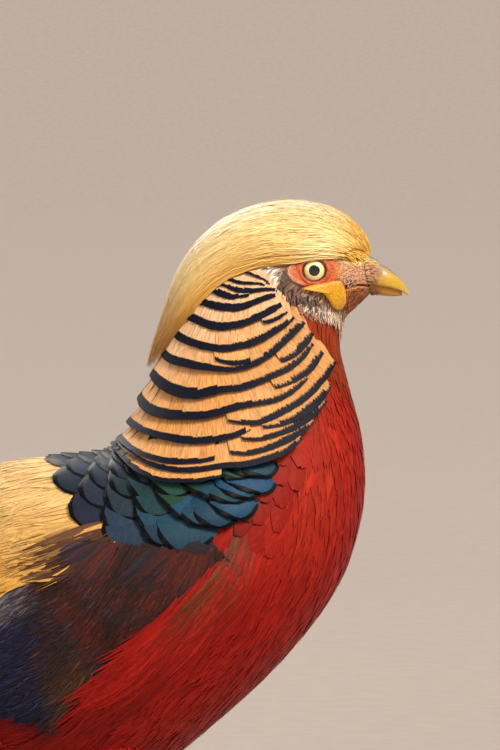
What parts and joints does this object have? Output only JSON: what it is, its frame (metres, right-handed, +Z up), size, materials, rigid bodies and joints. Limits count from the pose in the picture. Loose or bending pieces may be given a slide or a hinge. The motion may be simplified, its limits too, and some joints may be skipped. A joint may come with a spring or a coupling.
{
  "type": "golden pheasant",
  "caption": "Life-size golden pheasant cock standing on both feet, head up, with silky crest, barred cape, folded wings and a long trailing tail.",
  "frame": {"origin": "on the floor, midway between the bill's tip and the tail's tip, on the bird's middle plane", "axes": "+X forward to the bill, +Y to the bird's left, +Z up"},
  "size_m": [0.9544, 0.1262, 0.3556],
  "materials": {
    "body_plumage": "scarlet body feathers",
    "rump_plumage": "golden hair-like feathers",
    "cape_plumage": "orange feathers with blue-black bars",
    "face": "fine short feathers and bare orange skin",
    "crest_plumage": "silky golden yellow feathers",
    "bill": "smooth yellow horn, darker towards the face",
    "eye": "wet eye with a pale yellow iris and a black pupil",
    "lappet": "bare yellow skin",
    "wing_plumage": "dark red-brown feathers with deep blue inner flight feathers",
    "tail_plumage": "black-brown feathers with cinnamon spots",
    "leg": "dull yellow scaly skin",
    "claw": "dark horn"
  },
  "bodies": {
    "root": {"torso": "body_plumage", "rump": "rump_plumage", "neck": "cape_plumage", "head": "face", "crest": "crest_plumage", "bill_upper": "bill", "bill_lower": "bill", "eye_left": "eye", "eye_right": "eye", "lappet_left": "lappet", "lappet_right": "lappet", "wing_left": "wing_plumage", "wing_right": "wing_plumage", "tail": "tail_plumage", "thigh_left": "body_plumage", "thigh_right": "body_plumage", "foot_left": "leg", "foot_right": "leg", "claw_inner_left": "claw", "claw_middle_left": "claw", "claw_outer_left": "claw", "claw_hind_left": "claw", "claw_inner_right": "claw", "claw_middle_right": "claw", "claw_outer_right": "claw", "claw_hind_right": "claw"}
  },
  "joints": []
}
